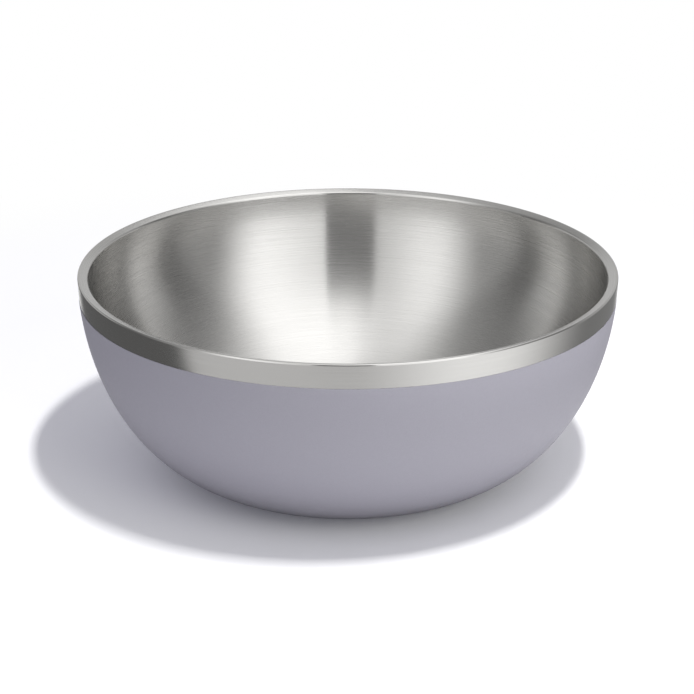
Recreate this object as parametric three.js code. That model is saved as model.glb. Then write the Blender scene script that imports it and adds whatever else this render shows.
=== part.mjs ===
// Open serving bowl with an insulating vacuum wall: two drawn steel shells, welded together at the rim.
// Millimetres, +Z up. The origin is the centre of the foot, on the surface that the bowl stands on.

import * as THREE from 'three';

// Outside form: a quarter ellipse, upright at the rim and level at the foot
const RIM_DIAMETER = 255;
const HEIGHT = 99;
const FOOT_DIAMETER = 119;

// Steel sheet of both shells, and the hairline left where pieces are welded, bonded or pressed together
const SHEET = 0.6;
const SEAM_GAP = 0.05;

// Rim: a land that slopes to the inside, in degrees, rounded at the weld outside and at the lip inside
const RIM_WIDTH = 4.9;
const LAND_SLOPE = 17;
const LIP_RADIUS = 1.2;
const EDGE_RADIUS = 0.8;
const WELD_WIDTH = 1.2;
const WELD_HEIGHT = 1;

// Coat: starts below a bare steel band and ends at a masked line just above the foot
const BAND_HEIGHT = 11;
const COAT_THICKNESS = 0.1;
const MASK_HEIGHT = 0.25;

// Inside form: half an ellipsoid, upright at the rim, with a vacuum space below its lowest point
const BASE_GAP = 5.4;

// Underside: a flat foot ring round a recessed panel, with the evacuation dimple and its port in the middle
const FOOT_WIDTH = 8;
const RECESS_DEPTH = 2.4;
const RECESS_DRAFT = 0.5;
const BEND_REACH = 0.8;
const DIMPLE_DIAMETER = 22;
const DIMPLE_DEPTH = 2.2;
const PORT_LAND_DIAMETER = 7;
const PORT_DIAMETER = 4;

// Solder-glass bead that closes the port
const BEAD_DIAMETER = 14;
const BEAD_CROWN = 0.8;

// Pressed cover over the dimple, set back from the foot
const COVER_SHEET = 0.5;
const COVER_SETBACK = 0.6;
const COVER_BEND = 0.8;
const COVER_FIT = 0.3;

// Getter pellet that keeps the vacuum, and the strap that holds it on the panel
const GETTER_DIAMETER = 10;
const GETTER_THICKNESS = 2;
const STRAP_SHEET = 0.3;
const STRAP_WIDTH = 6;
const STRAP_FOOT = 4;

// Fineness of the curves
const ROUND_SEGMENTS = 52;
const SMALL_SEGMENTS = 28;
const WALL_STEPS = 13;
const BAND_STEPS = 2;
const FOOT_STEPS = 2;
const LIP_STEPS = 4;
const EDGE_STEPS = 2;
const BEND_STEPS = 2;
const BEAD_STEPS = 4;

// Places that follow from the sizes above
const rimRadius = RIM_DIAMETER / 2;
const footRadius = FOOT_DIAMETER / 2;
const mouthRadius = rimRadius - RIM_WIDTH;
const recessRadius = footRadius - FOOT_WIDTH;
const dimpleRadius = DIMPLE_DIAMETER / 2;
const portLandRadius = PORT_LAND_DIAMETER / 2;
const portLandHeight = RECESS_DEPTH + DIMPLE_DEPTH;
const portRadius = PORT_DIAMETER / 2;
const panelTop = RECESS_DEPTH + SHEET;
const floorHeight = panelTop + BASE_GAP + SHEET;
const insideDepth = HEIGHT - floorHeight;
const landSlope = THREE.MathUtils.degToRad(LAND_SLOPE);

// Finishes
const finish = (color, roughness, metalness) => {
  return () => new THREE.MeshStandardMaterial({ color, roughness, metalness });
};
const brushedSteel = finish(0xc9c8c5, 0.32, 1);
const polishedSteel = finish(0xd2d1ce, 0.22, 1);
const pressedSteel = finish(0xb9b8b5, 0.45, 1);
const matteCoat = finish(0x9c99a6, 0.62, 0);
const solderGlass = finish(0x3a352f, 0.2, 0);
const sinteredAlloy = finish(0x5d5c5a, 0.8, 0.6);

const at = (radius, height) => new THREE.Vector2(radius, height);

/** Points along an ellipse arc between two angles. */
function arc(centre, halfAcross, halfHigh, from, to, steps) {
  const curve = new THREE.EllipseCurve(centre.x, centre.y, halfAcross, halfHigh, from, to, to < from);
  return curve.getPoints(steps);
}

/** A polyline whose inner corners are bent round, starting one reach away from each corner. */
function bent(corners, reach) {
  const points = [corners[0]];
  for (let i = 1; i < corners.length - 1; i += 1) {
    const corner = corners[i];
    const start = corner.clone().add(corners[i - 1].clone().sub(corner).setLength(reach));
    const end = corner.clone().add(corners[i + 1].clone().sub(corner).setLength(reach));
    points.push(...new THREE.QuadraticBezierCurve(start, corner, end).getPoints(BEND_STEPS));
  }
  points.push(corners.at(-1));
  return points;
}

/** A polyline moved sideways, to the right of its direction of travel, with mitred corners. */
function moved(points, distance) {
  const sides = points.slice(1).map((point, i) => {
    const along = point.clone().sub(points[i]).normalize();
    return at(along.y, -along.x);
  });
  // A path that starts on the axis goes on beyond it as its own mirror image
  const mirrored = at(-sides[0].x, sides[0].y);
  const beforeFirst = points[0].x === 0 ? mirrored : sides[0];
  return points.map((point, i) => {
    const before = i > 0 ? sides[i - 1] : beforeFirst;
    const after = sides[Math.min(i, sides.length - 1)];
    const mitre = before.clone().add(after).divideScalar(1 + before.dot(after));
    return point.clone().addScaledVector(mitre, distance);
  });
}

/** The same points, with the first one exactly on the axis. */
function fromAxis(points) {
  return [at(0, points[0].y), ...points.slice(1)];
}

/** Closed outline of a sheet that follows a path and lies to the right of it. */
function sheetOutline(path, thickness) {
  return [...path, ...moved(path, thickness).reverse()];
}

/** Solid of revolution about Z. An outline that touches the axis starts and ends there. */
function revolved(outline, segments) {
  const loop = THREE.ShapeUtils.area(outline) > 0 ? [...outline] : [...outline].reverse();
  if (loop[0].x > 0) loop.push(loop[0]);
  return new THREE.LatheGeometry(loop, segments).rotateX(Math.PI / 2);
}

/** The bowl's outside between two depths below the rim. */
function outsideWall(fromDepth, toDepth, steps) {
  const centre = at(footRadius, HEIGHT);
  const from = -Math.asin(fromDepth / HEIGHT);
  const to = -Math.asin(toDepth / HEIGHT);
  return arc(centre, rimRadius - footRadius, HEIGHT, from, to, steps);
}

/** The rim's rounded outer edge, from the upright outside to the start of the sloping land. */
function rimEdge() {
  const centre = at(rimRadius - EDGE_RADIUS, HEIGHT - EDGE_RADIUS);
  const outside = arc(centre, EDGE_RADIUS, EDGE_RADIUS, 0, Math.PI / 2, EDGE_STEPS);
  const landStart = at(-Math.sin(landSlope), Math.cos(landSlope)).multiplyScalar(EDGE_RADIUS).add(centre);
  return [...outside, landStart];
}

/** The point of the rim's land at a radius. */
function onLand(radius) {
  const start = rimEdge().at(-1);
  return at(radius, start.y - (start.x - radius) * Math.tan(landSlope));
}

/** Inner shell: a half ellipsoid, a rounded lip and a sloping flange out to the weld. */
function innerBowl() {
  const lipAcross = mouthRadius + LIP_RADIUS;
  const lipCentre = at(lipAcross, onLand(lipAcross).y - LIP_RADIUS / Math.cos(landSlope));
  const wallTop = Math.asin((HEIGHT - lipCentre.y) / insideDepth);
  const wall = arc(at(0, HEIGHT), mouthRadius, insideDepth, -Math.PI / 2, -wallTop, WALL_STEPS);
  const lip = arc(lipCentre, LIP_RADIUS, LIP_RADIUS, Math.PI, Math.PI / 2 + landSlope, LIP_STEPS);
  const path = [
    ...fromAxis(wall),
    ...lip.slice(1),
    onLand(rimRadius - WELD_WIDTH - SEAM_GAP),
  ];
  return revolved(sheetOutline(path, SHEET), ROUND_SEGMENTS);
}

/** Outer shell: curved wall, foot ring, recessed panel and a dimple that ends at the open port. */
function outerBowl() {
  const base = bent([
    at(footRadius, 0),
    at(recessRadius, 0),
    at(recessRadius - RECESS_DRAFT, RECESS_DEPTH),
    at(dimpleRadius, RECESS_DEPTH),
  ], BEND_REACH);
  const path = [
    ...outsideWall(WELD_HEIGHT + SEAM_GAP, BAND_HEIGHT, BAND_STEPS),
    ...outsideWall(BAND_HEIGHT, HEIGHT - MASK_HEIGHT, WALL_STEPS).slice(1),
    ...outsideWall(HEIGHT - MASK_HEIGHT, HEIGHT, FOOT_STEPS).slice(1),
    ...base.slice(1),
    at(portLandRadius, portLandHeight),
    at(portRadius, portLandHeight),
  ];
  return revolved(sheetOutline(path, SHEET), ROUND_SEGMENTS);
}

/** Weld bead that closes the corner between the flange and the outer shell, ground flush and rounded. */
function rimWeld() {
  const flangeTop = onLand(rimRadius - WELD_WIDTH);
  const outline = [
    flangeTop.clone().add(at(Math.sin(landSlope), -Math.cos(landSlope)).multiplyScalar(SHEET)),
    at(rimRadius - SHEET, HEIGHT - WELD_HEIGHT),
    at(rimRadius, HEIGHT - WELD_HEIGHT),
    ...rimEdge(),
    flangeTop,
  ];
  return revolved(outline, ROUND_SEGMENTS);
}

/** Cured coat on the outside, from the bare band down to the masked line above the foot. */
function powderCoat() {
  const wall = outsideWall(BAND_HEIGHT, HEIGHT - MASK_HEIGHT, WALL_STEPS);
  return revolved(sheetOutline(moved(wall, -SEAM_GAP), -COAT_THICKNESS), ROUND_SEGMENTS);
}

/** Glass that has run into the dimple, with a stub that plugs the port. */
function portSeal() {
  const beadRadius = BEAD_DIAMETER / 2;
  const coneShare = (dimpleRadius - beadRadius) / (dimpleRadius - portLandRadius);
  const dimple = [
    at(beadRadius, RECESS_DEPTH + DIMPLE_DEPTH * coneShare),
    at(portLandRadius, portLandHeight),
    at(portRadius - SEAM_GAP, portLandHeight),
  ];
  const wetted = moved(dimple, -SEAM_GAP);
  const crown = arc(at(0, wetted[0].y), wetted[0].x, BEAD_CROWN, -Math.PI / 2, 0, BEAD_STEPS);
  const outline = [
    ...fromAxis(crown),
    ...wetted.slice(1),
    at(portRadius - SEAM_GAP, portLandHeight + SHEET),
    at(0, portLandHeight + SHEET),
  ];
  return revolved(outline, SMALL_SEGMENTS);
}

/** Shallow pressed cap that fits the recess and bears on the panel with its turned-up edge. */
function baseCover() {
  const edgeRadius = recessRadius - RECESS_DRAFT - BEND_REACH - COVER_FIT;
  const path = bent([
    at(0, COVER_SETBACK),
    at(edgeRadius, COVER_SETBACK),
    at(edgeRadius, RECESS_DEPTH - SEAM_GAP),
  ], COVER_BEND);
  return revolved(sheetOutline(path, -COVER_SHEET), ROUND_SEGMENTS);
}

/** Strap bent over the pellet, with a spot-welded foot on each side. */
function getterStrap() {
  const legPlace = GETTER_DIAMETER / 2 + SEAM_GAP;
  const legHeight = GETTER_THICKNESS + SEAM_GAP;
  const path = [
    at(legPlace + STRAP_FOOT, 0),
    at(legPlace, 0),
    at(legPlace, legHeight),
    at(-legPlace, legHeight),
    at(-legPlace, 0),
    at(-legPlace - STRAP_FOOT, 0),
  ];
  const outline = new THREE.Shape(sheetOutline(path, STRAP_SHEET));
  return new THREE.ExtrudeGeometry(outline, { depth: STRAP_WIDTH, bevelEnabled: false });
}

const bowl = new THREE.Group();

/** Names a piece and puts it in the bowl. */
function addPiece(name, geometry, material) {
  const mesh = new THREE.Mesh(geometry, material);
  mesh.name = name;
  bowl.add(mesh);
  return mesh;
}

addPiece('inner_bowl', innerBowl(), brushedSteel());
addPiece('outer_bowl', outerBowl(), polishedSteel());
addPiece('rim_weld', rimWeld(), polishedSteel());
addPiece('powder_coat', powderCoat(), matteCoat());
addPiece('port_seal', portSeal(), solderGlass());
addPiece('base_cover', baseCover(), pressedSteel());

// The getter sits on the panel, halfway between the dimple and the recess wall
const getterPlace = (dimpleRadius + recessRadius) / 2;
const getterRadius = GETTER_DIAMETER / 2;
const pelletShape = new THREE.CylinderGeometry(getterRadius, getterRadius, GETTER_THICKNESS, SMALL_SEGMENTS);
const pellet = addPiece('getter_pellet', pelletShape, sinteredAlloy());
pellet.rotation.x = Math.PI / 2;
pellet.position.set(getterPlace, 0, panelTop + SEAM_GAP + GETTER_THICKNESS / 2);

const strap = addPiece('getter_strap', getterStrap(), pressedSteel());
strap.rotation.x = Math.PI / 2;
strap.position.set(getterPlace, STRAP_WIDTH / 2, panelTop + SEAM_GAP);

export default bowl;
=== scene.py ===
"""Looks of an open serving bowl with a vacuum wall.

Brushed steel inside, a bare band of steel at the rim and a matte coat outside.
"""

import math

import bmesh
import bpy
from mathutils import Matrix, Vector


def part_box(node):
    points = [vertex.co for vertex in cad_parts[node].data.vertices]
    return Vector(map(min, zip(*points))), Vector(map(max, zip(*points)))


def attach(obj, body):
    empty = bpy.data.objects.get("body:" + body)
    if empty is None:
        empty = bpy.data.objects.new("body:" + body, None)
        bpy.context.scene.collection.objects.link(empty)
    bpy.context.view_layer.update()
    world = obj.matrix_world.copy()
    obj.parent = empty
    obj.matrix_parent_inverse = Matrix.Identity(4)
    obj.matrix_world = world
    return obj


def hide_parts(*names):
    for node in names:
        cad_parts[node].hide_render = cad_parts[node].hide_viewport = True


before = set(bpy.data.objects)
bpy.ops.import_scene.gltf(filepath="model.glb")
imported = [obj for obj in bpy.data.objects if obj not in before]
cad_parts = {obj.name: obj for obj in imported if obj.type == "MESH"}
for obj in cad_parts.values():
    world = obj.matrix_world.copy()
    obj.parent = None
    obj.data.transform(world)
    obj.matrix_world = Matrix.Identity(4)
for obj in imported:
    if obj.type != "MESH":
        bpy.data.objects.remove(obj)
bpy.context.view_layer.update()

MM = 0.001

# Sizes of the bowl: the rim from the frame, the rest as they are on the object
rim_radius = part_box("rim_weld")[1][0]
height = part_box("rim_weld")[1][2]
SHEET = 0.6 * MM
FOOT_RADIUS = 59.5 * MM
RIM_WIDTH = 4.9 * MM
LAND_SLOPE = math.radians(17)
LIP_RADIUS = 1.2 * MM
EDGE_RADIUS = 0.8 * MM
WELD_WIDTH = 1.2 * MM
WELD_HEIGHT = 1 * MM
BAND_HEIGHT = 11 * MM
COAT_GAP = 0.05 * MM
COAT_THICKNESS = 0.1 * MM
MASK_HEIGHT = 0.25 * MM
RECESS_RADIUS = 51.5 * MM
RECESS_DRAFT = 0.5 * MM
RECESS_DEPTH = 2.4 * MM
BEND_REACH = 0.8 * MM
DIMPLE_RADIUS = 11 * MM
DIMPLE_DEPTH = 2.2 * MM
LAND_RADIUS = 3.5 * MM
PORT_RADIUS = 2 * MM
COVER_SHEET = 0.5 * MM

mouth_radius = rim_radius - RIM_WIDTH
floor_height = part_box("inner_bowl")[0][2] + SHEET
inside_depth = height - floor_height
cover_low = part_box("base_cover")[0][2]
cover_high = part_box("base_cover")[1][2]
cover_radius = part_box("base_cover")[1][0]

# Fineness of the turned pieces
SPIN_STEPS = 256
WALL_STEPS = 72
BEND_STEPS = 6
MERGE_DISTANCE = 0.0001 * MM
CREASE = math.radians(28)


def ellipse_wall(level_radius, top_radius, depth, start, end):
    """Points down a quarter ellipse between two depths.

    It is upright at the rim's height, and runs level into the bottom at level_radius.
    """
    first = math.asin(start / depth)
    last = math.asin(end / depth)
    points = []
    for step in range(WALL_STEPS + 1):
        angle = first + (last - first) * step / WALL_STEPS
        across = level_radius + (top_radius - level_radius) * math.cos(angle)
        points.append((across, height - depth * math.sin(angle)))
    return points


def turned(name, profile, thickness=0.0, closed=False):
    """Turns a profile about Z. A skin gets its thickness behind its normals.

    A point is (radius, height). A bent corner also says how far from it the bend starts.
    """
    bm = bmesh.new()
    verts = [bm.verts.new((point[0], 0, point[1])) for point in profile]
    ends = verts[1:] + verts[:1] if closed else verts[1:]
    for start, end in zip(verts, ends):
        bm.edges.new((start, end))
    bends = [(vert, point[2]) for vert, point in zip(verts, profile) if len(point) > 2]
    for vert, reach in bends:
        bmesh.ops.bevel(bm, geom=[vert], offset=reach, offset_type="OFFSET", segments=BEND_STEPS,
                        profile=0.5, affect="VERTICES", material=-1)
    bmesh.ops.spin(bm, geom=bm.verts[:] + bm.edges[:], cent=(0, 0, 0), axis=(0, 0, 1),
                   angle=2 * math.pi, steps=SPIN_STEPS, use_merge=True)
    bmesh.ops.remove_doubles(bm, verts=bm.verts, dist=MERGE_DISTANCE)
    bmesh.ops.recalc_face_normals(bm, faces=bm.faces)
    if thickness:
        bmesh.ops.solidify(bm, geom=bm.faces[:], thickness=thickness)
    mesh = bpy.data.meshes.new(name)
    bm.to_mesh(mesh)
    bm.free()
    mesh.shade_smooth()
    mesh.set_sharp_from_angle(angle=CREASE)
    piece = bpy.data.objects.new(name, mesh)
    bpy.context.scene.collection.objects.link(piece)
    return piece


def bend_reach(radius, turn):
    """How far from a corner its bend starts, for the bend's radius and the angle it turns through."""
    return radius * math.tan(turn / 2)


def on_land(radius):
    """A point of the rim's sloping land, which meets the eased outer edge at the full height."""
    edge_middle = (rim_radius - EDGE_RADIUS, height - EDGE_RADIUS)
    rise = edge_middle[1] + EDGE_RADIUS / math.cos(LAND_SLOPE)
    return (radius, rise + (radius - edge_middle[0]) * math.tan(LAND_SLOPE))


def finished(piece, node, material):
    """Hands a piece its finish and its place on the body, and hides the CAD node that it stands for."""
    piece.data.materials.append(material)
    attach(piece, "root")
    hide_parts(node)


def linear(hex_colour):
    """An sRGB hex value as linear red, green, blue and alpha."""
    channels = []
    for shift in (16, 8, 0):
        value = (hex_colour >> shift & 255) / 255
        channels.append(value / 12.92 if value <= 0.04045 else ((value + 0.055) / 1.055) ** 2.4)
    return (*channels, 1.0)


def add(tree, kind, inputs=None, **settings):
    """Adds a node with its settings, and sets or links each named input."""
    made = tree.nodes.new(kind)
    for name, value in settings.items():
        setattr(made, name, value)
    for name, value in (inputs or {}).items():
        socket = made.inputs[name]
        if isinstance(value, bpy.types.NodeSocket):
            tree.links.new(value, socket)
        else:
            socket.default_value = value
    return made


def fresh(name):
    """A material with nothing but its output node."""
    material = bpy.data.materials.new(name)
    material.use_nodes = True
    material.node_tree.nodes.clear()
    return material, material.node_tree, material.node_tree.nodes.new("ShaderNodeOutputMaterial")


# Noise keeps mostly between these two values
NOISE_LOW = 0.3
NOISE_HIGH = 0.7

# Hair lines of turned steel: where one counts as polished or as scratched, and how they vary
LINE_POLISHED = 0.42
LINE_SCRATCHED = 0.58
LINE_DETAIL = 3.0
LINE_BREAKUP = 0.7
LINE_TINT = 0x050505
QUARTER_TURN = 0.25


def turned_steel(name, colour, smooth, rough, draw, line, streak, lean):
    """Stainless steel brushed while it turns, with hair lines that draw reflections out up the wall.

    smooth and rough are the roughness of a polished and of a scratched line. draw is how much longer a
    reflection gets across the lines than along them. line is the spacing of the lines, streak their length
    at the rim and lean how far one tilts the surface up or down the wall.
    """
    material, tree, output = fresh(name)
    place = add(tree, "ShaderNodeTexCoord").outputs["Object"]
    flat = add(tree, "ShaderNodeVectorMath", {0: place, 1: (1, 1, 0)}, operation="MULTIPLY").outputs["Vector"]
    radius = add(tree, "ShaderNodeVectorMath", {0: flat}, operation="LENGTH").outputs["Value"]
    rise = add(tree, "ShaderNodeSeparateXYZ", {"Vector": place}).outputs["Z"]
    # Radius plus height grows from the middle of the floor to the rim, so lines follow the turning
    along = add(tree, "ShaderNodeMath", {0: radius, 1: rise}, operation="ADD").outputs["Value"]
    across = add(tree, "ShaderNodeMath", {0: along, 1: 1 / line}, operation="MULTIPLY").outputs["Value"]
    lift = add(tree, "ShaderNodeCombineXYZ", {"Z": across}).outputs["Vector"]
    facing = add(tree, "ShaderNodeVectorMath", {0: flat}, operation="NORMALIZE").outputs["Vector"]
    spread = add(tree, "ShaderNodeVectorMath", {0: facing, "Scale": rim_radius / streak},
                 operation="SCALE").outputs["Vector"]
    brushed = add(tree, "ShaderNodeVectorMath", {0: spread, 1: lift}, operation="ADD").outputs["Vector"]
    lines = add(tree, "ShaderNodeTexNoise", {
        "Vector": brushed, "Scale": 1.0, "Detail": LINE_DETAIL, "Roughness": LINE_BREAKUP}).outputs["Fac"]
    scratch = add(tree, "ShaderNodeMapRange", {
        "Value": lines, "From Min": LINE_POLISHED, "From Max": LINE_SCRATCHED,
        "To Min": smooth, "To Max": rough}).outputs["Result"]
    tint = add(tree, "ShaderNodeMix", {
        "Factor": lines, "A": linear(colour + LINE_TINT), "B": linear(colour - LINE_TINT)},
        data_type="RGBA").outputs["Result"]
    swing = add(tree, "ShaderNodeMapRange", {
        "Value": lines, "From Min": NOISE_LOW, "From Max": NOISE_HIGH,
        "To Min": -lean, "To Max": lean}, clamp=False).outputs["Result"]
    level = add(tree, "ShaderNodeNewGeometry").outputs["Normal"]
    round_axis = add(tree, "ShaderNodeVectorMath", {0: (0, 0, 1), 1: facing},
                     operation="CROSS_PRODUCT").outputs["Vector"]
    up_wall = add(tree, "ShaderNodeVectorMath", {0: level, 1: round_axis},
                  operation="CROSS_PRODUCT").outputs["Vector"]
    tilt = add(tree, "ShaderNodeVectorMath", {0: up_wall, "Scale": swing},
               operation="SCALE").outputs["Vector"]
    leaning = add(tree, "ShaderNodeVectorMath", {0: level, 1: tilt}, operation="ADD").outputs["Vector"]
    leaning = add(tree, "ShaderNodeVectorMath", {0: leaning}, operation="NORMALIZE").outputs["Vector"]
    shader = add(tree, "ShaderNodeBsdfPrincipled", {
        "Base Color": tint, "Metallic": 1.0, "Roughness": scratch,
        "Anisotropic": draw, "Anisotropic Rotation": QUARTER_TURN,
        "Normal": leaning, "Tangent": round_axis})
    tree.links.new(shader.outputs["BSDF"], output.inputs["Surface"])
    return material


# Grain and orange peel of the powder coat
GRAIN_SIZE = 0.5 * MM
GRAIN_HEIGHT = 0.012 * MM
GRAIN_DETAIL = 2.0
GRAIN_TINT = 0x050505
PEEL_SIZE = 1.8 * MM
PEEL_HEIGHT = 0.02 * MM
PEEL_DETAIL = 1.0
COAT_SMOOTH = 0.52
COAT_ROUGH = 0.6


def powder_coat(name, colour):
    """Polyester powder, sprayed and baked: a matte skin with a fine grain and a faint orange peel."""
    material, tree, output = fresh(name)
    place = add(tree, "ShaderNodeTexCoord").outputs["Object"]
    grain = add(tree, "ShaderNodeTexNoise", {
        "Vector": place, "Scale": 1 / GRAIN_SIZE, "Detail": GRAIN_DETAIL}).outputs["Fac"]
    peel = add(tree, "ShaderNodeTexNoise", {
        "Vector": place, "Scale": 1 / PEEL_SIZE, "Detail": PEEL_DETAIL}).outputs["Fac"]
    tint = add(tree, "ShaderNodeMix", {
        "Factor": grain, "A": linear(colour - GRAIN_TINT), "B": linear(colour + GRAIN_TINT)},
        data_type="RGBA").outputs["Result"]
    rough = add(tree, "ShaderNodeMapRange", {
        "Value": peel, "From Min": NOISE_LOW, "From Max": NOISE_HIGH,
        "To Min": COAT_SMOOTH, "To Max": COAT_ROUGH}).outputs["Result"]
    swell = add(tree, "ShaderNodeBump", {
        "Height": peel, "Distance": PEEL_HEIGHT, "Strength": 1.0}).outputs["Normal"]
    relief = add(tree, "ShaderNodeBump", {
        "Height": grain, "Distance": GRAIN_HEIGHT, "Strength": 1.0, "Normal": swell}).outputs["Normal"]
    shader = add(tree, "ShaderNodeBsdfPrincipled", {"Base Color": tint, "Roughness": rough, "Normal": relief})
    tree.links.new(shader.outputs["BSDF"], output.inputs["Surface"])
    return material


# Clouds and pits of the inner pieces
CLOUD_DETAIL = 3.0
CLOUD_TINT = 0x141414
PIT_SHARE = 0.05


def plain_grain(name, colour, metallic, roughness, grain):
    """A small inner part as it leaves its process: even colour, clouded and pitted at its grain's size."""
    material, tree, output = fresh(name)
    place = add(tree, "ShaderNodeTexCoord").outputs["Object"]
    cloud = add(tree, "ShaderNodeTexNoise", {
        "Vector": place, "Scale": 1 / grain, "Detail": CLOUD_DETAIL}).outputs["Fac"]
    tint = add(tree, "ShaderNodeMix", {
        "Factor": cloud, "A": linear(colour), "B": linear(colour + CLOUD_TINT)},
        data_type="RGBA").outputs["Result"]
    relief = add(tree, "ShaderNodeBump", {
        "Height": cloud, "Distance": PIT_SHARE * grain, "Strength": 1.0}).outputs["Normal"]
    shader = add(tree, "ShaderNodeBsdfPrincipled", {
        "Base Color": tint, "Metallic": metallic, "Roughness": roughness, "Normal": relief})
    tree.links.new(shader.outputs["BSDF"], output.inputs["Surface"])
    return material


# Brushed liner: lines finer than a pixel, so they show as a long soft sheen with faint streaks
liner_steel = turned_steel(
    "stainless_brushed_liner", colour=0xc8c7c5, smooth=0.15, rough=0.3, draw=1.0,
    line=0.04 * MM, streak=70 * MM, lean=0.004)

# Satin band and outer shell: a clearer mirror, whose lines are drawn coarser than real ones to show
band_steel = turned_steel(
    "stainless_satin_band", colour=0xc4c3c1, smooth=0.16, rough=0.24, draw=0.8,
    line=0.2 * MM, streak=80 * MM, lean=0.01)

# Ground weld: the same steel, a little shinier, because its edge was ground last
weld_steel = turned_steel(
    "stainless_ground_weld", colour=0xc4c3c1, smooth=0.14, rough=0.22, draw=0.8,
    line=0.2 * MM, streak=80 * MM, lean=0.01)

# Pressed cover: duller sheet steel with coarse turning marks
cover_steel = turned_steel(
    "stainless_pressed_cover", colour=0xbbbbba, smooth=0.32, rough=0.4, draw=0.5,
    line=0.5 * MM, streak=40 * MM, lean=0.05)

# Powder coat: an even, matte lavender grey, with a grain that shows only close up
coat = powder_coat("polyester_powder_coat", 0xa19fac)

# Liner: a half ellipsoid, a rounded lip and a land that slopes to the inside
lip_bend = bend_reach(LIP_RADIUS, math.pi / 2 - LAND_SLOPE)
lip_depth = height - on_land(mouth_radius)[1] + lip_bend
liner = turned("liner", [
    *reversed(ellipse_wall(0, mouth_radius, inside_depth, lip_depth, inside_depth)),
    (*on_land(mouth_radius), lip_bend),
    on_land(rim_radius - WELD_WIDTH),
], SHEET)
finished(liner, "inner_bowl", liner_steel)

# Outer shell: wall, foot ring, recessed panel and the dimple with its port
shell = turned("shell", [
    *ellipse_wall(FOOT_RADIUS, rim_radius, height, WELD_HEIGHT, height),
    (RECESS_RADIUS, 0, BEND_REACH),
    (RECESS_RADIUS - RECESS_DRAFT, RECESS_DEPTH, BEND_REACH),
    (DIMPLE_RADIUS, RECESS_DEPTH, BEND_REACH),
    (LAND_RADIUS, RECESS_DEPTH + DIMPLE_DEPTH, BEND_REACH),
    (PORT_RADIUS, RECESS_DEPTH + DIMPLE_DEPTH),
], SHEET)
finished(shell, "outer_bowl", band_steel)

# Weld bead, ground flush with the land and the band, with an eased outer edge
flange_end = on_land(rim_radius - WELD_WIDTH)
weld = turned("weld", [
    flange_end,
    (flange_end[0] + SHEET * math.sin(LAND_SLOPE), flange_end[1] - SHEET * math.cos(LAND_SLOPE)),
    (rim_radius - SHEET, height - WELD_HEIGHT),
    (rim_radius, height - WELD_HEIGHT),
    (*on_land(rim_radius), bend_reach(EDGE_RADIUS, math.pi / 2 + LAND_SLOPE)),
], closed=True)
finished(weld, "rim_weld", weld_steel)

# Coat, from the band down to the masked line above the foot
coat_reach = COAT_GAP + COAT_THICKNESS
coat_wall = ellipse_wall(
    FOOT_RADIUS, rim_radius + coat_reach, height + coat_reach, BAND_HEIGHT, height - MASK_HEIGHT)
coat_skin = turned("coat_skin", coat_wall, COAT_THICKNESS)
finished(coat_skin, "powder_coat", coat)

# Pressed cap in the recess
cap = turned("cap", [
    (0, cover_low),
    (cover_radius, cover_low, BEND_REACH),
    (cover_radius, cover_high),
], COVER_SHEET)
finished(cap, "base_cover", cover_steel)

# Inner pieces keep their solids: dark fused glass, dull grey sintered alloy and bright strip
inner_finishes = {
    "port_seal": plain_grain(
        "solder_glass_fused", colour=0x2e2a25, metallic=0.0, roughness=0.15, grain=2 * MM),
    "getter_pellet": plain_grain(
        "getter_alloy_sintered", colour=0x565553, metallic=0.6, roughness=0.75, grain=0.3 * MM),
    "getter_strap": plain_grain(
        "stainless_strip_mill_finish", colour=0xb4b2ae, metallic=1.0, roughness=0.35, grain=0.6 * MM),
}
for node, material in inner_finishes.items():
    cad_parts[node].data.materials.clear()
    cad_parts[node].data.materials.append(material)

# Floor: white, keeps the shadow near the bowl and fades into the white ground further out
FLOOR_SIZE = 8.0
SHADOW_REACH = 0.24
FADE_REACH = 0.5
# Painted light: a camera-only glow that lifts the shadow, weaker near the foot, where it leaves a painted
# contact shadow
SHADE_LIFT = 0.116
CONTACT_LIFT = 0.06
LIFT_START = 0.06
LIFT_END = 0.1
# Painted shade: light bounced from the paper onto the bowl is dimmed, darkest under the bowl
UNDER_START = 0.07
UNDER_END = 0.14
MIRROR_START = 0.14
MIRROR_END = 0.2
PAPER_SEEN = 0xf4f4f4
PAINTED_SHADE_UNDER = 0x888888
PAPER_ROUND = 0xe5e5e5
PAINTED_LIFT_COLOUR = 0xe4e4ff
WHITE = 0xffffff


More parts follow.
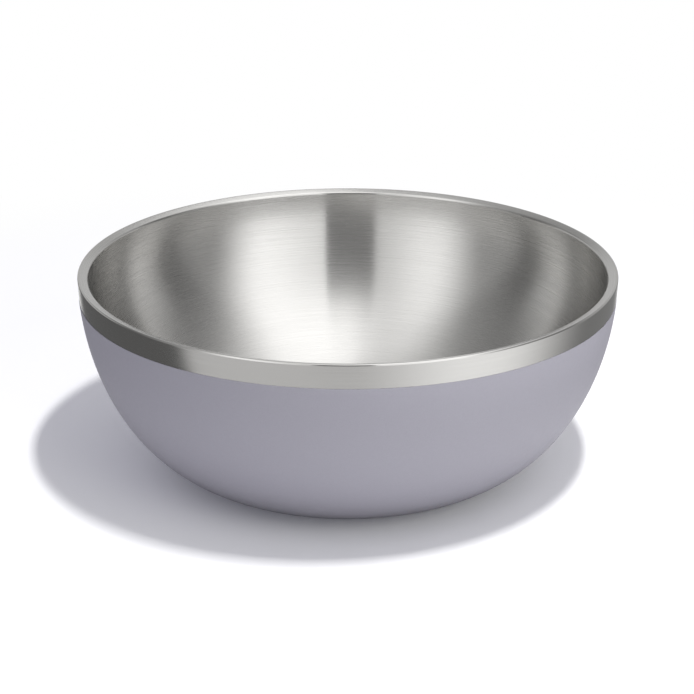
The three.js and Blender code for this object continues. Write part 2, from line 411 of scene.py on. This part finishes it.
def white_ground():
    """White paper: shaded round the bowl, so that the shadow shows, and plain white beyond it."""
    material, tree, output = fresh("white_paper_ground")
    place = add(tree, "ShaderNodeTexCoord").outputs["Object"]
    away = add(tree, "ShaderNodeVectorMath", {0: place}, operation="LENGTH").outputs["Value"]
    fade = add(tree, "ShaderNodeMapRange", {
        "Value": away, "From Min": SHADOW_REACH, "From Max": FADE_REACH},
        interpolation_type="SMOOTHSTEP").outputs["Result"]
    rays = add(tree, "ShaderNodeLightPath").outputs
    share = add(tree, "ShaderNodeMath", {0: fade, 1: rays["Is Camera Ray"]},
                operation="MULTIPLY").outputs["Value"]
    # Painted shade: the eye sees white paper, but the light that the paper throws back onto the bowl is
    # dimmed, most of all under it
    clear_of = add(tree, "ShaderNodeMapRange", {
        "Value": away, "From Min": UNDER_START, "From Max": UNDER_END},
        interpolation_type="SMOOTHSTEP").outputs["Result"]
    painted_bounce_shade = add(tree, "ShaderNodeMix", {
        "Factor": clear_of, "A": linear(PAINTED_SHADE_UNDER), "B": linear(PAPER_ROUND)},
        data_type="RGBA").outputs["Result"]
    shade = add(tree, "ShaderNodeMix", {
        "Factor": rays["Is Camera Ray"], "A": painted_bounce_shade, "B": linear(PAPER_SEEN)},
        data_type="RGBA").outputs["Result"]
    paper = add(tree, "ShaderNodeBsdfDiffuse", {"Color": shade}).outputs["BSDF"]
    # Painted light: a bluish glow that only the camera sees lifts the shadow, with less of it at the foot,
    # which paints a darker contact shadow there
    lift = add(tree, "ShaderNodeMapRange", {
        "Value": away, "From Min": LIFT_START, "From Max": LIFT_END,
        "To Min": CONTACT_LIFT, "To Max": SHADE_LIFT}).outputs["Result"]
    lift = add(tree, "ShaderNodeMath", {0: lift, 1: rays["Is Camera Ray"]},
               operation="MULTIPLY").outputs["Value"]
    lift = add(tree, "ShaderNodeEmission", {
        "Color": linear(PAINTED_LIFT_COLOUR), "Strength": lift}).outputs["Emission"]
    paper = add(tree, "ShaderNodeAddShader", {0: paper, 1: lift}).outputs["Shader"]
    glow = add(tree, "ShaderNodeEmission", {"Color": linear(WHITE), "Strength": 1.0}).outputs["Emission"]
    mixed = add(tree, "ShaderNodeMixShader", {0: share, 1: paper, 2: glow}).outputs["Shader"]
    # Gloss shows the paper close to the foot, and the room's table top further out
    beyond = add(tree, "ShaderNodeMapRange", {
        "Value": away, "From Min": MIRROR_START, "From Max": MIRROR_END}).outputs["Result"]
    clear = add(tree, "ShaderNodeMath", {0: beyond, 1: rays["Is Glossy Ray"]},
                operation="MULTIPLY").outputs["Value"]
    open_view = add(tree, "ShaderNodeBsdfTransparent").outputs["BSDF"]
    mixed = add(tree, "ShaderNodeMixShader", {0: clear, 1: mixed, 2: open_view}).outputs["Shader"]
    tree.links.new(mixed, output.inputs["Surface"])
    return material


def flat_sheet(name, side, material):
    """A flat square sheet of the stage, level at the origin."""
    bm = bmesh.new()
    bmesh.ops.create_grid(bm, x_segments=1, y_segments=1, size=side / 2)
    mesh = bpy.data.meshes.new(name)
    bm.to_mesh(mesh)
    bm.free()
    mesh.materials.append(material)
    sheet = bpy.data.objects.new(name, mesh)
    bpy.context.scene.collection.objects.link(sheet)


flat_sheet("ground", FLOOR_SIZE, white_ground())

# Lamps: a small key lamp high up, drawn out in depth, and a soft box to the right
KEY_PLACE = (0.246, -0.3, 1.3)
KEY_AIM = (0.246, 0, 0.05)
KEY_WATTS = 13.3
KEY_WIDTH = 0.07
KEY_LENGTH = 0.19
SOFT_BOX_PLACE = (0.9, -1.0, 0.6)
SOFT_BOX_AIM = (0, 0, 0.06)
SOFT_BOX_COLOUR = 0xfdfeee
SOFT_BOX_RADIANCE = 2.45
SOFT_BOX_SIDE = 0.9


def lamp(name, place, aim, colour, watts, width, length):
    """An area lamp aimed at a point. The metal sees the room instead of it."""
    light = bpy.data.lights.new(name, "AREA")
    light.color = linear(colour)[:3]
    light.energy = watts
    light.shape = "RECTANGLE"
    light.size = width
    light.size_y = length
    lamp_object = bpy.data.objects.new(name, light)
    lamp_object.location = place
    lamp_object.rotation_euler = (Vector(aim) - Vector(place)).to_track_quat("-Z", "Y").to_euler()
    lamp_object.visible_camera = False
    lamp_object.visible_glossy = False
    bpy.context.scene.collection.objects.link(lamp_object)


lamp("key_lamp", KEY_PLACE, KEY_AIM, WHITE, KEY_WATTS, KEY_WIDTH, KEY_LENGTH)
soft_box_watts = SOFT_BOX_RADIANCE * math.pi * SOFT_BOX_SIDE * SOFT_BOX_SIDE
lamp("right_soft_box", SOFT_BOX_PLACE, SOFT_BOX_AIM, SOFT_BOX_COLOUR, soft_box_watts,
     SOFT_BOX_SIDE, SOFT_BOX_SIDE)

# Room that the metal mirrors, by bearing (0 to the camera, more to the right) and by rise
SWITCH = 0.05
HORIZON = math.radians(3)
FILL = 0.47
FILL_TINT = 0xfafaff

# Dark gap for the camera
GAP_LEFT = math.radians(-12.8)
GAP_RIGHT = math.radians(10.3)
GAP_LEFT_EDGE = math.radians(2.2)
GAP_RIGHT_EDGE = math.radians(0.4)
GAP_FLARE = 0.7
GAP_LOW = math.radians(53)
GAP_HIGH = math.radians(81)
GAP_LEVEL = 0.23

# Soft boxes on both sides of the gap, and their crown overhead
LEFT_LEVEL = 1.47
RIGHT_LEVEL = 1.69
BOX_MEETING = -0.09
BOX_BLEND = 0.12
LEFT_BOX_DIM = 0.6
RIGHT_BOX_DIM = 0.76
BOX_FULL = math.radians(40)
LEFT_CROWN = 1.24
RIGHT_CROWN = 1.95
CROWN_LOW = math.radians(55)
CROWN_HIGH = math.radians(80)
BOX_FOOT = math.radians(18)
BOX_FOOT_SHARE = 1.4

# Wall behind the bowl
LEFT_BACK_BEARING = math.radians(145)
RIGHT_BACK_BEARING = math.radians(167)
BACK_EDGE = math.radians(3)
LEFT_BACK_RISE = math.radians(66)
RIGHT_BACK_RISE = math.radians(50)
BACK_LEVEL = 0.56

# Dark sides
LEFT_SIDE_BEARING = math.radians(116.4)
RIGHT_SIDE_BEARING = math.radians(114.2)
SIDE_WIDTH = math.radians(61.8)
LEFT_SIDE_RISE = math.radians(64.2)
RIGHT_SIDE_RISE = math.radians(57.1)
SIDE_SOFT = 0.22
SIDE_FRONT = math.radians(80)
SIDE_DEEP = math.radians(96)
LEFT_SIDE_LEVEL = 0.4
RIGHT_SIDE_LEVEL = 0.35
SIDE_DEEP_LEVEL = 0.18
SIDE_LIFT_START = math.radians(26)
SIDE_LIFT_END = math.radians(58)
SIDE_LIFT = 0.25

# Light backdrop, low behind the sides
DROP_BEARING = math.radians(109)
DROP_RISE = math.radians(26.5)
DROP_EDGE = math.radians(9)
DROP_LEVEL = 0.66

# Table top
TABLE_LEFT_EDGE = math.radians(-71.5)
TABLE_LEFT_SOFT = math.radians(5)
TABLE_LEFT_LEVEL = 0.14
TABLE_LEVEL = 0.76
TABLE_BRIGHT = math.radians(56)
TABLE_SWELL = 0.58
TABLE_FALL_START = math.radians(62)
TABLE_FALL_END = math.radians(121)
TABLE_RIGHT_SHARE = 0.19
LEFT_TABLE_BACK = math.radians(160)
RIGHT_TABLE_BACK = math.radians(164)
TABLE_BACK_LEVEL = 1.3

world = bpy.data.worlds.new("studio")
bpy.context.scene.world = world
world.use_nodes = True
sky = world.node_tree
sky.nodes.clear()
direction = add(sky, "ShaderNodeTexCoord").outputs["Generated"]
way = add(sky, "ShaderNodeSeparateXYZ", {"Vector": direction}).outputs
front = add(sky, "ShaderNodeMath", {0: way["Y"], 1: -1.0}, operation="MULTIPLY").outputs["Value"]
bearing = add(sky, "ShaderNodeMath", {0: way["X"], 1: front}, operation="ARCTAN2").outputs["Value"]
aside = add(sky, "ShaderNodeMath", {0: bearing}, operation="ABSOLUTE").outputs["Value"]
rise = add(sky, "ShaderNodeMath", {0: way["Z"]}, operation="ARCSINE").outputs["Value"]


def left_to_right(left, right):
    """A value of the room that changes from its left half to its right half."""
    change = add(sky, "ShaderNodeMapRange", {
        "Value": way["X"], "From Min": -SWITCH, "From Max": SWITCH, "To Min": left, "To Max": right})
    return change.outputs["Result"]


def box_to_box(left, right):
    """A level that changes from the left soft box to the right one where they meet."""
    change = add(sky, "ShaderNodeMapRange", {
        "Value": way["X"], "From Min": BOX_MEETING - BOX_BLEND, "From Max": BOX_MEETING + BOX_BLEND,
        "To Min": left, "To Max": right}, interpolation_type="SMOOTHSTEP")
    return change.outputs["Result"]


# Bearings drawn together toward the top, where the gap's straight edges lean apart
level_run = add(sky, "ShaderNodeMath", {0: rise}, operation="COSINE").outputs["Value"]
level_run = add(sky, "ShaderNodeMath", {0: level_run, 1: GAP_FLARE}, operation="POWER").outputs["Value"]
narrowed = add(sky, "ShaderNodeMath", {0: bearing, 1: level_run}, operation="MULTIPLY").outputs["Value"]

# Two soft boxes that meet overhead, both dimmer toward the gap and brighter at the foot
off_gap = add(sky, "ShaderNodeMath", {0: narrowed}, operation="ABSOLUTE").outputs["Value"]
dim = add(sky, "ShaderNodeMapRange", {
    "Value": off_gap, "From Min": GAP_RIGHT, "From Max": BOX_FULL,
    "To Min": left_to_right(LEFT_BOX_DIM, RIGHT_BOX_DIM), "To Max": 1.0},
    interpolation_type="SMOOTHSTEP").outputs["Result"]
room = add(sky, "ShaderNodeMath", {0: box_to_box(LEFT_LEVEL, RIGHT_LEVEL), 1: dim},
           operation="MULTIPLY").outputs["Value"]
crown_share = add(sky, "ShaderNodeMapRange", {
    "Value": rise, "From Min": CROWN_LOW, "From Max": CROWN_HIGH},
    interpolation_type="SMOOTHSTEP").outputs["Result"]
room = add(sky, "ShaderNodeMix", {
    "Factor": crown_share, "A": room, "B": box_to_box(LEFT_CROWN, RIGHT_CROWN)},
    data_type="FLOAT").outputs["Result"]
foot_share = add(sky, "ShaderNodeMapRange", {
    "Value": rise, "From Min": 0.0, "From Max": BOX_FOOT,
    "To Min": BOX_FOOT_SHARE, "To Max": 1.0}).outputs["Result"]
room = add(sky, "ShaderNodeMath", {0: room, 1: foot_share}, operation="MULTIPLY").outputs["Value"]

# Grey wall behind the bowl
back_start = left_to_right(LEFT_BACK_BEARING, RIGHT_BACK_BEARING)
back = add(sky, "ShaderNodeMath", {0: aside, 1: back_start}, operation="SUBTRACT").outputs["Value"]
back = add(sky, "ShaderNodeMapRange", {
    "Value": back, "From Min": -BACK_EDGE, "From Max": BACK_EDGE},
    interpolation_type="SMOOTHSTEP").outputs["Result"]
back_top = left_to_right(LEFT_BACK_RISE, RIGHT_BACK_RISE)
back_below = add(sky, "ShaderNodeMath", {0: back_top, 1: rise}, operation="SUBTRACT").outputs["Value"]
back_below = add(sky, "ShaderNodeMapRange", {
    "Value": back_below, "From Min": -DROP_EDGE, "From Max": DROP_EDGE},
    interpolation_type="SMOOTHSTEP").outputs["Result"]
back = add(sky, "ShaderNodeMath", {0: back, 1: back_below}, operation="MULTIPLY").outputs["Value"]
room = add(sky, "ShaderNodeMix", {"Factor": back, "A": room, "B": BACK_LEVEL},
           data_type="FLOAT").outputs["Result"]

# Dark sides of the room, rounded off to the top and a little lighter there
side_middle = left_to_right(LEFT_SIDE_BEARING, RIGHT_SIDE_BEARING)
side_top = left_to_right(LEFT_SIDE_RISE, RIGHT_SIDE_RISE)
across = add(sky, "ShaderNodeMath", {0: aside, 1: side_middle}, operation="SUBTRACT").outputs["Value"]
across = add(sky, "ShaderNodeMath", {0: across, 1: SIDE_WIDTH}, operation="DIVIDE").outputs["Value"]
up = add(sky, "ShaderNodeMath", {0: rise, 1: side_top}, operation="DIVIDE").outputs["Value"]
apart = add(sky, "ShaderNodeCombineXYZ", {"X": across, "Y": up}).outputs["Vector"]
apart = add(sky, "ShaderNodeVectorMath", {0: apart}, operation="LENGTH").outputs["Value"]
side = add(sky, "ShaderNodeMapRange", {
    "Value": apart, "From Min": 1 - SIDE_SOFT, "From Max": 1 + SIDE_SOFT,
    "To Min": 1.0, "To Max": 0.0}, interpolation_type="SMOOTHSTEP").outputs["Result"]
side_level = add(sky, "ShaderNodeMapRange", {
    "Value": aside, "From Min": SIDE_FRONT, "From Max": SIDE_DEEP,
    "To Min": left_to_right(LEFT_SIDE_LEVEL, RIGHT_SIDE_LEVEL), "To Max": SIDE_DEEP_LEVEL},
    interpolation_type="SMOOTHSTEP").outputs["Result"]
side_lift = add(sky, "ShaderNodeMapRange", {
    "Value": rise, "From Min": SIDE_LIFT_START, "From Max": SIDE_LIFT_END,
    "To Min": 0.0, "To Max": SIDE_LIFT}).outputs["Result"]
side_level = add(sky, "ShaderNodeMath", {0: side_level, 1: side_lift}, operation="ADD").outputs["Value"]
room = add(sky, "ShaderNodeMix", {"Factor": side, "A": room, "B": side_level},
           data_type="FLOAT").outputs["Result"]

# Light backdrop that shows low behind the sides
drop = add(sky, "ShaderNodeMapRange", {
    "Value": aside, "From Min": DROP_BEARING - DROP_EDGE, "From Max": DROP_BEARING + DROP_EDGE},
    interpolation_type="SMOOTHSTEP").outputs["Result"]
drop_below = add(sky, "ShaderNodeMapRange", {
    "Value": rise, "From Min": DROP_RISE - DROP_EDGE, "From Max": DROP_RISE + DROP_EDGE,
    "To Min": 1.0, "To Max": 0.0}, interpolation_type="SMOOTHSTEP").outputs["Result"]
drop = add(sky, "ShaderNodeMath", {0: drop, 1: drop_below}, operation="MULTIPLY").outputs["Value"]
room = add(sky, "ShaderNodeMix", {"Factor": drop, "A": room, "B": DROP_LEVEL},
           data_type="FLOAT").outputs["Result"]

# Dark gap between the boxes, which fades out toward the top
past_left = add(sky, "ShaderNodeMapRange", {
    "Value": narrowed, "From Min": GAP_LEFT - GAP_LEFT_EDGE, "From Max": GAP_LEFT + GAP_LEFT_EDGE},
    interpolation_type="SMOOTHSTEP").outputs["Result"]
past_right = add(sky, "ShaderNodeMapRange", {
    "Value": narrowed, "From Min": GAP_RIGHT - GAP_RIGHT_EDGE, "From Max": GAP_RIGHT + GAP_RIGHT_EDGE,
    "To Min": 1.0, "To Max": 0.0}, interpolation_type="SMOOTHSTEP").outputs["Result"]
gap_below = add(sky, "ShaderNodeMapRange", {
    "Value": rise, "From Min": GAP_LOW, "From Max": GAP_HIGH,
    "To Min": 1.0, "To Max": 0.0}, interpolation_type="SMOOTHSTEP").outputs["Result"]
gap = add(sky, "ShaderNodeMath", {0: past_left, 1: past_right}, operation="MULTIPLY").outputs["Value"]
gap = add(sky, "ShaderNodeMath", {0: gap, 1: gap_below}, operation="MULTIPLY").outputs["Value"]
room = add(sky, "ShaderNodeMix", {"Factor": gap, "A": room, "B": GAP_LEVEL},
           data_type="FLOAT").outputs["Result"]

# Table top below the horizon: dark past its left end and brightest under the right box
table = add(sky, "ShaderNodeMapRange", {
    "Value": bearing, "From Min": TABLE_LEFT_EDGE - TABLE_LEFT_SOFT,
    "From Max": TABLE_LEFT_EDGE + TABLE_LEFT_SOFT,
    "To Min": TABLE_LEFT_LEVEL, "To Max": TABLE_LEVEL},
    interpolation_type="SMOOTHSTEP").outputs["Result"]
swell = add(sky, "ShaderNodeMapRange", {
    "Value": bearing, "From Min": 0.0, "From Max": TABLE_BRIGHT,
    "To Min": 0.0, "To Max": TABLE_SWELL}, interpolation_type="SMOOTHSTEP").outputs["Result"]
table = add(sky, "ShaderNodeMath", {0: table, 1: swell}, operation="ADD").outputs["Value"]
fall = add(sky, "ShaderNodeMapRange", {
    "Value": bearing, "From Min": TABLE_FALL_START, "From Max": TABLE_FALL_END,
    "To Min": 1.0, "To Max": TABLE_RIGHT_SHARE}, interpolation_type="SMOOTHSTEP").outputs["Result"]
table = add(sky, "ShaderNodeMath", {0: table, 1: fall}, operation="MULTIPLY").outputs["Value"]
table_back = left_to_right(LEFT_TABLE_BACK, RIGHT_TABLE_BACK)
behind = add(sky, "ShaderNodeMath", {0: aside, 1: table_back}, operation="SUBTRACT").outputs["Value"]
behind = add(sky, "ShaderNodeMapRange", {
    "Value": behind, "From Min": -DROP_EDGE, "From Max": DROP_EDGE},
    interpolation_type="SMOOTHSTEP").outputs["Result"]
table = add(sky, "ShaderNodeMix", {"Factor": behind, "A": table, "B": TABLE_BACK_LEVEL},
            data_type="FLOAT").outputs["Result"]
over = add(sky, "ShaderNodeMapRange", {
    "Value": rise, "From Min": -HORIZON, "From Max": HORIZON},
    interpolation_type="SMOOTHSTEP").outputs["Result"]
room = add(sky, "ShaderNodeMix", {"Factor": over, "A": table, "B": room},
           data_type="FLOAT").outputs["Result"]

# World: soft fill on the object, the room in the metal and plain white to the eye
rays = add(sky, "ShaderNodeLightPath").outputs
level = add(sky, "ShaderNodeMix", {"Factor": rays["Is Glossy Ray"], "A": FILL, "B": room},
            data_type="FLOAT").outputs["Result"]
level = add(sky, "ShaderNodeMix", {"Factor": rays["Is Camera Ray"], "A": level, "B": 1.0},
            data_type="FLOAT").outputs["Result"]
tint = add(sky, "ShaderNodeMix", {
    "Factor": rays["Is Diffuse Ray"], "A": linear(WHITE), "B": linear(FILL_TINT)},
    data_type="RGBA").outputs["Result"]
shown = add(sky, "ShaderNodeBackground", {"Color": tint, "Strength": level}).outputs["Background"]
add(sky, "ShaderNodeOutputWorld", {"Surface": shown})

# Camera: the photograph's viewing angle
CAMERA_DISTANCE = 892.5 * MM
CAMERA_RISE = math.radians(21.45)
CAMERA_ANGLE = math.radians(21.3)
AIM_ASIDE = -0.4 * MM
AIM_HEIGHT = 56.9 * MM
camera = bpy.data.objects.new("camera", bpy.data.cameras.new("camera"))
camera.data.angle = CAMERA_ANGLE
camera.location = (
    AIM_ASIDE,
    -CAMERA_DISTANCE * math.cos(CAMERA_RISE),
    AIM_HEIGHT + CAMERA_DISTANCE * math.sin(CAMERA_RISE),
)
camera.rotation_euler = (math.pi / 2 - CAMERA_RISE, 0, 0)
bpy.context.scene.collection.objects.link(camera)
bpy.context.scene.camera = camera
bpy.context.scene.view_settings.view_transform = "Standard"
